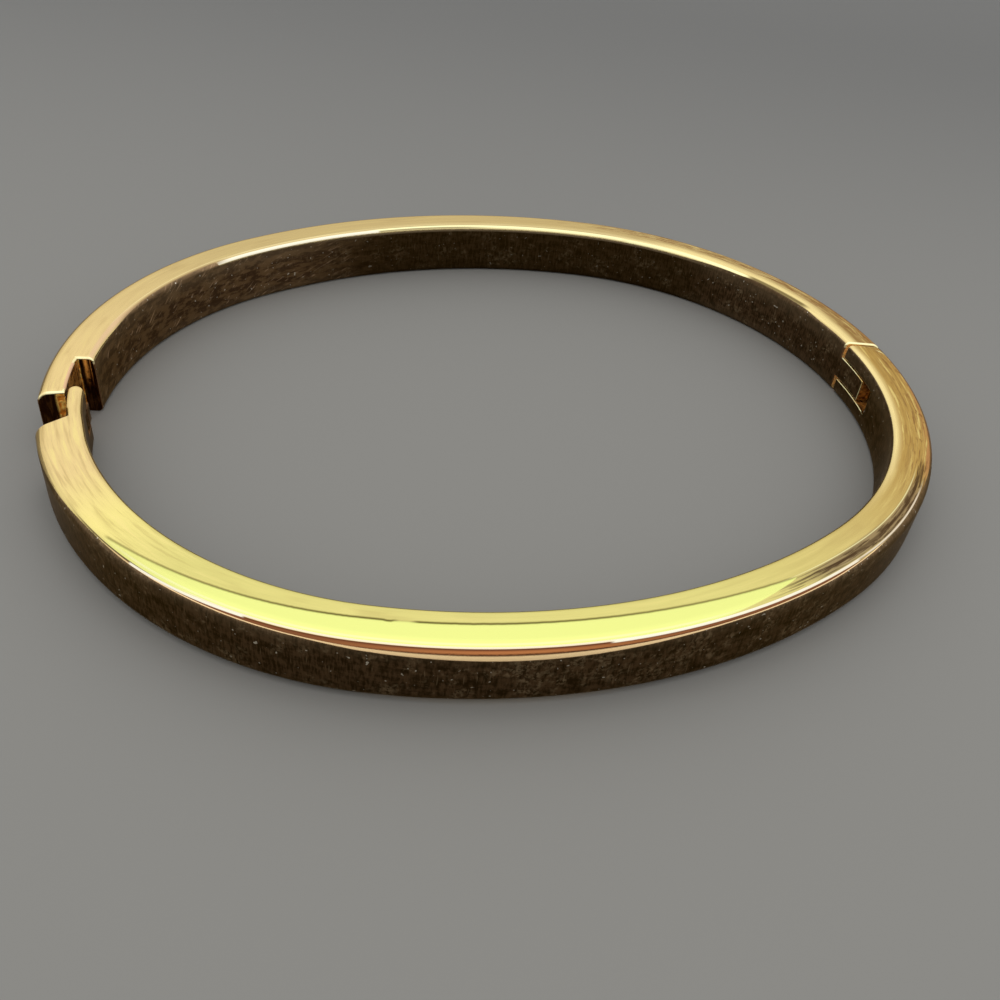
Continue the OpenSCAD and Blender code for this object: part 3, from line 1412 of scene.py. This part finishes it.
    def walls(self, board: Board, angle: Wire, length: Wire, across: Wire) -> tuple[Wire, Wire]:
        """Colour and relief of the walls, whose colour is a painted dark reflection, mottled brown to nearly
        black.

        Args:
            board: The node tree.
            angle: Normal angle.
            length: Profile length, with the lower half laid out like the upper half.
            across: Profile length as it is.

        Returns:
            The colour and the height of the relief.
        """
        place = board.object_spot()
        grain = board.streaks(angle * 3.2, across * 1.1, 41.0)
        blotch = board.streaks(angle * 0.5 - across * 0.6, across * 1.9, 43.0, 4.0, 0.65)
        patch = board.noise(place, 640.0, 3.0, 0.65)
        pitted = board.noise(place, 3400.0, 2.0, 0.7)
        # The walls' painted reflection turns brown, with ripples, towards the hinge.
        brown_reflection = angle.within(100, 172, 14)
        clouded = brown_reflection.at_least(angle.rise(300, 320)) * 0.4
        texture = grain * (0.55 - clouded) + blotch * (clouded + 0.45)
        # Painted reflection: the walls start dark and are mottled lighter.
        wall = Coat(board, self.wall_dark)
        wall.lay(texture.rise(0.4, 0.6), self.wall)
        ripple = board.streaks(angle * 0.34 + across * 0.25, across * 2.0, 53.0, 3.0, 0.65)
        brown = board.mix(ripple.rise(0.42, 0.58), self.wall_red, self.wall_brown)
        wall.lay(brown_reflection * 0.85, brown)
        often = brown_reflection * 0.05 + angle.within(258, 292, 8) * 0.07
        speckled = (patch + often).rise(0.5, 0.68) * pitted.rise(0.44, 0.62) * (1 - brown_reflection * 0.75)
        wall.lay(speckled * 0.5, self.wall_light)
        # Painted highlights: pinkish slanted strokes on the brown stretch.
        slanted = board.streaks(across * 0.5 - angle * 0.27, angle * 1.3 + across * 4.2, 59.0, 2.0, 0.5)
        wall.lay(slanted.rise(0.57, 0.7) * patch.rise(0.42, 0.6) * brown_reflection * 0.85, self.stroke_highlight)
        scratch = board.streaks(angle * 5.5, across * 0.75, 47.0, 1.0, 0.5)
        wall.lay(scratch.rise(0.66, 0.76) * 0.35, self.wall_light)
        # Painted shade: the walls are darker along the middle of the back half and towards the clasp.
        deep = angle.within(38, 102, 8)
        wall.lay(deep * 0.6 + angle.rise(312, 325) * 0.3, self.wall_deep)
        # Painted light: the walls are lighter near the top.
        upper = 1 - abs(length - self.wall_start + 1.6).rise(1.6, 3.0)
        wall.lay((upper * 0.2 + brown_reflection * 0.08) * (1 - deep), self.wall_light)
        # Painted highlights: a light band high on the inside wall, along the back half and towards the hinge.
        by_hinge = length.hump(-0.3, 0.4) * angle.within(123, 158, 4) * 0.25
        wall.lay((length.hump(-0.68, 0.18) * deep + by_hinge) * 0.75, self.wall_light)
        shaded = angle.within(12, 34, 5) * 0.7 + angle.within(127, 156, 4) * 0.5
        wall.lay(length.hump(-0.4, 0.3) * shaded, self.wall_dark)
        # Pale specks in the walls' painted reflection.
        pale_specks = board.noise(place, 4400.0, 0.0, 0.5).rise(0.8, 0.83)
        wall.lay(pale_specks * (0.8 - deep * 0.6), self.speck)
        return wall.colour, pitted * (length.rise(2.5, 2.7) + (-0.55 - length).rise(0.0, 0.1))

    def mirrored(self, across: Wire) -> Wire:
        """Profile length with the lower half of the band laid out like the upper half.

        Args:
            across: Profile length as it is.

        Returns:
            The mirrored length.
        """
        outside = across.rise(1.0, 1.001)
        upper = self.outer_turn - abs(across - self.outer_turn)
        lower = abs(across - self.inner_turn) + self.inner_turn
        return upper * outside + lower * (1 - outside)

    @staticmethod
    def inner_edge(angle: Wire) -> Wire:
        """Where the walls' painted dark reflection starts on the inner rounding.

        Args:
            angle: Normal angle.

        Returns:
            The profile length.
        """
        deep = angle.rise(30.0, 48.0) - angle.rise(122.5, 123.5)
        shallow = angle.within(9.0, 28.0, 3.0)
        late = angle.within(123.0, 200.0, 0.4)
        return shallow * 0.14 + late * (0.16 - angle.rise(140.0, 162.0) * 0.36) - deep * 0.22 - 0.37

    def paint(self, board: Board) -> None:
        """Lay the gold, then the walls' painted dark reflection over it.

        Args:
            board: The material's node tree.
        """
        layout = board.add("ShaderNodeUVMap", {"uv_map": Unrolled.name}, {})
        angle = board.part(layout, "X") * Unrolled.turn
        across = (board.part(layout, "Y") - Unrolled.middle) * Unrolled.length_scale
        length = self.mirrored(across)
        gold = Coat(board, self.tone(board, angle))
        self.brush(gold, angle, length)
        self.wear(gold, angle, length)
        self.brighten(gold, angle, length)
        peach, outer_edge = self.redden(gold, angle, length)
        for line in self.lines():
            gold.lay(line.mask(angle, length), line.tint)
        wall, relief = self.walls(board, angle, length, across)
        # The walls' painted dark reflection reaches over the roundings, with ragged edges.
        ragged = board.streaks(angle * 1.5, 0.0, 61.0, 2.0) - 0.5
        high = (length - outer_edge - ragged * 0.1).rise(-0.02, 0.04)
        low = (self.inner_edge(angle) + ragged * 0.06 - length).rise(-0.03, 0.03)
        dark = high + low
        gold.lay(dark, wall)
        board.metal(gold.colour, dark * 0.2 + 0.16, relief, self.relief_depth, peach * (1 - dark) * 0.9)


@dataclass(frozen=True)
class EdgeFinish(Finish):
    """Gold of the edges: a painted highlight along the top and round the tongue, painted dark further down
    like the walls.

    On the hinge's side only the fingers' ends get the painted highlight. Lengths are millimetres.
    """

    finger_end: float
    recess: float
    name: str = "edge_gold"
    bright: Colour = linear(255, 246, 192)
    plain: Colour = linear(232, 200, 128)
    painted_dark: Colour = linear(92, 62, 34)
    rosy: Colour = linear(226, 186, 146)
    top: float = 4.2
    seam: float = -1.35
    tongue_low: float = 1.15
    tongue_high: float = 3.45
    end_reach: float = 0.6
    relief: float = 0.006

    def paint(self, board: Board) -> None:
        """Lay the painted dark, then the painted highlight over it.

        Args:
            board: The material's node tree.
        """
        place = board.object_spot()
        wear = board.noise(place, 900.0, 3.0)
        across, along, height = (board.part(place, axis) / MM for axis in "XYZ")
        clasp_side = across.rise(-1.0, 1.0)
        past_seam = clasp_side * (1 - along.rise(self.seam - 0.1, self.seam + 0.1))
        beside_tongue = past_seam * height.within(self.tongue_low, self.tongue_high, 0.04)
        finger_ends = along.hump(self.finger_end, self.end_reach) + along.hump(self.recess, self.end_reach)
        placed = (finger_ends * 3.0 + clasp_side).at_most(1.0)
        upper = height.rise(self.top - 0.2, self.top + 0.1)
        shown = (upper * placed).at_least(beside_tongue)
        # The shown edges get a painted highlight; the rest stay painted dark, rosy near the top.
        painted_highlight = board.mix(wear.rise(0.45, 0.75), self.bright, self.plain)
        edge = Coat(board, self.painted_dark)
        edge.lay(upper, self.rosy)
        edge.lay(shown, painted_highlight)
        dull = 1 - shown
        board.metal(edge.colour, wear * 0.2 + 0.05 + dull * 0.5, wear, self.relief, dull * 0.7)


@dataclass(frozen=True)
class CutFinish(Finish):
    """Rough metal inside the hinge and the clasp, dark with warm patches and a painted glow of light in the
    seam.
    """

    name: str = "inside_gold"
    dark: Colour = linear(90, 54, 24)
    warm: Colour = linear(214, 150, 70)
    glow: Colour = linear(255, 214, 140)
    scale: float = 800.0
    cover_start: float = 0.4
    cover_end: float = 0.68
    relief: float = 0.05
    dull: float = 0.35
    seam: float = -1.9

    def paint(self, board: Board) -> None:
        """Lay the patches, then the painted glow over them.

        Args:
            board: The material's node tree.
        """
        place = board.object_spot()
        beside_seam = board.part(place, "Y").rise((self.seam - 0.2) * MM, self.seam * MM)
        at_seam = board.part(place, "X").rise(0.0, MM) * beside_seam
        patch = board.noise(place, self.scale, 3.0, 0.6)
        grain = board.noise(place, self.scale * 4, 3.0, 0.6)
        metal = Coat(board, self.dark)
        metal.lay((patch * 0.7 + grain * 0.3).rise(self.cover_start, self.cover_end), self.warm)
        # Painted light: a bright glow on the faces at the seam.
        metal.lay(at_seam, self.glow)
        board.metal(metal.colour, grain * 0.3 + 0.15, grain, self.relief, self.dull)


@dataclass(frozen=True)
class HingeCutFinish(Finish):
    """End faces in the hinge: painted nearly black as shade, with a painted lit streak in the recess and a
    painted warm reflection by the finger.

    Lengths are millimetres.
    """

    arc_centre: float
    arc_radius: float
    name: str = "hinge_cut_gold"
    dark: Colour = linear(50, 26, 12)
    brown: Colour = linear(104, 66, 32)
    lit: Colour = linear(232, 158, 72)
    warm_reflection: Colour = linear(255, 206, 104)
    warm_reflection_low: Colour = linear(226, 138, 44)
    streak_off: float = 0.62
    warm_reflection_off: float = 1.4
    relief: float = 0.22

    def paint(self, board: Board) -> None:
        """Lay the painted dark shade, then the painted streak and the painted warm reflection over it.

        Args:
            board: The material's node tree.
        """
        place = board.object_spot()
        flat = board.vector("MULTIPLY", place, (1.0, 1.0, 0.0))
        reach = board.vector("DISTANCE", flat, (-self.arc_centre * MM, 0.0, 0.0), "Value")
        off = reach / MM - self.arc_radius
        height = board.part(place, "Z") / MM
        grain = board.noise(place, 2200.0, 3.0, 0.65)
        upright = board.streaks(off * 5.0, height * 0.7, 5.0)
        # Painted shade: the end faces start nearly black.
        metal = Coat(board, self.dark)
        metal.lay(upright.rise(0.46, 0.66) * 0.8, self.brown)
        wavy = off + (upright - 0.5) * 0.2
        streak = (wavy.hump(self.streak_off, 0.26) + wavy.hump(0.3, 0.08) * 0.7) * height.rise(2.0, 3.4)
        metal.lay(streak * grain.rise(0.25, 0.5), self.lit)
        # Painted warm reflection, bumpy and orange, on the face by the finger.
        bumps = board.noise(place, 2500.0, 1.0, 0.5)
        warm_reflection_mask = (1 - (wavy - self.warm_reflection_off).rise(0.3, 0.46)) * wavy.rise(1.0, 1.1)
        metal.lay(warm_reflection_mask, board.mix(bumps.rise(0.36, 0.62), self.warm_reflection_low, self.warm_reflection))
        dull = (warm_reflection_mask * 0.45 + streak * 0.85).at_most(1.0)
        board.metal(metal.colour, grain * 0.3 + 0.16, bumps * (warm_reflection_mask * 0.85 + 0.15), self.relief, dull)


@dataclass(frozen=True)
class SteelFinish(Finish):
    """Drawn steel of the hinge pin."""

    name: str = "pin_steel_wire"
    tint: Colour = linear(196, 190, 180)
    rust: Colour = linear(150, 118, 84)
    stretch: tuple[float, float, float] = (9000.0, 9000.0, 700.0)
    relief: float = 0.004

    def paint(self, board: Board) -> None:
        """Lay rusty streaks along the drawn wire.

        Args:
            board: The material's node tree.
        """
        inputs = {"Vector": board.object_spot(), "Scale": self.stretch}
        drawn = board.noise(board.add("ShaderNodeMapping", {}, inputs), 1.0, 3.0)
        colour = board.mix(drawn.rise(0.5, 0.75) * 0.6, self.tint, self.rust)
        board.metal(colour, drawn * 0.3 + 0.2, drawn, self.relief)


@dataclass(frozen=True)
class FloorFinish(Finish):
    """Plain pale grey of the floor, with painted shade that makes it a little darker further back. Lengths
    are metres.
    """

    name: str = "floor_grey"
    tint: Colour = linear(126, 125, 121)
    far_tint: Colour = linear(92, 92, 90)
    away: tuple[float, float, float] = (0.42, 0.91, 0.0)
    near: float = -0.03
    far: float = 0.15
    cloud_scale: float = 14.0
    cloud_share: float = 0.04
    roughness: float = 0.6
    gloss: float = 0.2

    def paint(self, board: Board) -> None:
        """Lay the painted shade, a darker grey by the distance, and faint clouds over it.

        Args:
            board: The material's node tree.
        """
        place = board.object_spot()
        depth = board.vector("DOT_PRODUCT", place, self.away, "Value")
        grey = Coat(board, self.tint)
        grey.lay(depth.rise(self.near, self.far), self.far_tint)
        grey.lay(board.noise(place, self.cloud_scale, 1.0) * self.cloud_share, self.far_tint)
        board.surface(
            {
                "Base Color": grey.colour,
                "Roughness": self.roughness,
                "Specular IOR Level": self.gloss,
            }
        )


# Studio


@dataclass(frozen=True)
class Studio:
    """Plain pale floor, a soft white dome of light and one soft lamp. Lengths are metres."""

    floor_reach: float = 1.5
    floor_parts: int = 8
    zenith: float = 1.2
    horizon: float = 0.8
    lamp_height: float = 0.32
    lamp_size: float = 0.2
    lamp_power: float = 0.15

    def build(self) -> None:
        """Lay the floor and set the light."""
        bpy.context.scene.view_settings.view_transform = "Standard"
        self.lay_floor()
        self.hang_lamp()
        self.light_dome()

    def lay_floor(self) -> None:
        """Lay the floor under the object."""
        mesh = bmesh.new()
        parts = self.floor_parts
        bmesh.ops.create_grid(mesh, x_segments=parts, y_segments=parts, size=self.floor_reach)
        floor = show("floor", mesh_data(mesh, "floor"))
        floor.data.materials.append(FloorFinish().build())

    def hang_lamp(self) -> None:
        """Hang the soft lamp over the object."""
        light = bpy.data.lights.new("soft_lamp", "AREA")
        light.shape = "SQUARE"
        light.size = self.lamp_size
        light.energy = self.lamp_power
        lamp = show("soft_lamp", light)
        lamp.location = (0, 0, self.lamp_height)
        lamp.visible_glossy = False

    def light_dome(self) -> None:
        """Light the scene from all round, a little stronger from above."""
        world = bpy.data.worlds.new("dome")
        board = Board(world)
        way = board.add("ShaderNodeTexCoord", {}, {}, "Generated")
        rise = board.part(way, "Z").over(0.0)
        strength = rise * (self.zenith - self.horizon) + self.horizon
        light = board.add("ShaderNodeBackground", {}, {"Color": (1, 1, 1, 1), "Strength": strength})
        board.add("ShaderNodeOutputWorld", {}, {"Surface": light})
        bpy.context.scene.world = world


@dataclass(frozen=True)
class Viewpoint:
    """Camera at the photograph's viewing angle. Angles are degrees, lengths millimetres."""

    elevation: float = 39.265
    roll: float = 6.9065
    turn: float = 22.5362
    distance: float = 68.624
    aim_across: float = 0.770
    aim_along: float = -10.346
    lens: float = 34.96
    clip_start: float = 1.0

    def build(self) -> None:
        """Make the camera and let the scene use it."""
        data = bpy.data.cameras.new("camera")
        data.lens = self.lens
        data.clip_start = self.clip_start * MM
        camera = show("camera", data)
        aim = Matrix.Translation(Vector((self.aim_across, self.aim_along, 0)) * MM)
        tilt = Matrix.Rotation(math.radians(90 - self.elevation), 4, "X")
        roll = Matrix.Rotation(math.radians(self.roll), 4, "Z")
        back = Matrix.Translation((0, 0, self.distance * MM))
        camera.matrix_world = Matrix.Rotation(math.radians(-self.turn), 4, "Z") @ aim @ tilt @ back @ roll
        bpy.context.scene.camera = camera


# Bangle


@dataclass
class Bangle:
    """The whole bangle: two halves of a flat-topped oval band, a hinge and a clasp."""

    thickness: float = 3.0

    def shapes(self) -> tuple[Oval, Section]:
        """Work out the outline and the section of the band from the frame's box.

        Returns:
            The oval and the section.
        """
        low, high = (Vector(corner) / MM for corner in CAD_BOX)
        oval = Oval(high.x - self.thickness, high.y - self.thickness)
        return oval, Section(self.thickness, high.z - low.z)

    def build(self) -> None:
        """Build both halves and dress them and the pin."""
        oval, section = self.shapes()
        hinge, clasp = Hinge(), Clasp()
        finishes = {
            Slot.BAND: BandFinish(),
            Slot.EDGE: EdgeFinish(hinge.pin_level + hinge.finger_setback, hinge.recess_level),
            Slot.CUT: HingeCutFinish(oval.end_centre, oval.end_radius),
            Slot.GLOW: CutFinish(),
        }
        materials = [finishes[slot].build() for slot in Slot]
        for half in (BackHalf, FrontHalf):
            piece = half(oval, section, hinge, clasp).build()
            for material in materials:
                piece.data.materials.append(material)
            LOG.info("built %s", piece.name)
        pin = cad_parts["hinge_pin"]
        steel = SteelFinish().build()
        for slot in pin.material_slots:
            slot.material = steel
        LOG.info("dressed %s", pin.name)


def main() -> None:
    """Build the bangle, the studio and the camera."""
    logging.basicConfig(level=logging.INFO, format="%(message)s")
    Bangle().build()
    Studio().build()
    Viewpoint().build()


if __name__ == "__main__":
    main()
